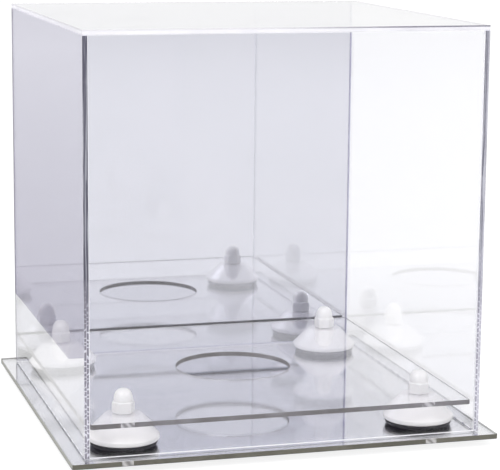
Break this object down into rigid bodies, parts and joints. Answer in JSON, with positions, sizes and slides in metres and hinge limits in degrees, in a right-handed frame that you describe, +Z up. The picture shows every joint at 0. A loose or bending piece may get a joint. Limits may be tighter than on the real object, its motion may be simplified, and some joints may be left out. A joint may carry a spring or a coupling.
{
  "type": "bowling ball display case",
  "caption": "Clear lift-off cover with a mirrored back on a mirrored base, and a clear raised platform with a round seat for a bowling ball.",
  "frame": {"origin": "on the surface that the case stands on, under the middle of the base plate", "axes": "+Z up, +X to the right as seen from the clear front, +Y towards the mirrored back"},
  "size_m": [0.273, 0.273, 0.265],
  "materials": {
    "clear_acrylic": "polished",
    "mirror_acrylic": "polished",
    "white_moulding": "gloss",
    "white_nylon": "satin",
    "black_rubber": "matte"
  },
  "bodies": {
    "base": {"base_plate": "mirror_acrylic", "platform": "clear_acrylic", "riser_pad_front_left": "black_rubber", "riser_pad_front_right": "black_rubber", "riser_pad_back_left": "black_rubber", "riser_pad_back_right": "black_rubber", "riser_foot_front_left": "white_moulding", "riser_foot_front_right": "white_moulding", "riser_foot_back_left": "white_moulding", "riser_foot_back_right": "white_moulding", "cap_nut_front_left": "white_nylon", "cap_nut_front_right": "white_nylon", "cap_nut_back_left": "white_nylon", "cap_nut_back_right": "white_nylon", "riser_screw_front_left": "white_nylon", "riser_screw_front_right": "white_nylon", "riser_screw_back_left": "white_nylon", "riser_screw_back_right": "white_nylon"},
    "cover": {"cover_front": "clear_acrylic", "cover_left": "clear_acrylic", "cover_right": "clear_acrylic", "cover_top": "clear_acrylic", "cover_back_mirror": "mirror_acrylic"}
  },
  "joints": [
    {"name": "cover_lift", "type": "slide", "parent": "base", "child": "cover", "axis": [0, 0, 1], "range_m": [0, 0.28]}
  ]
}
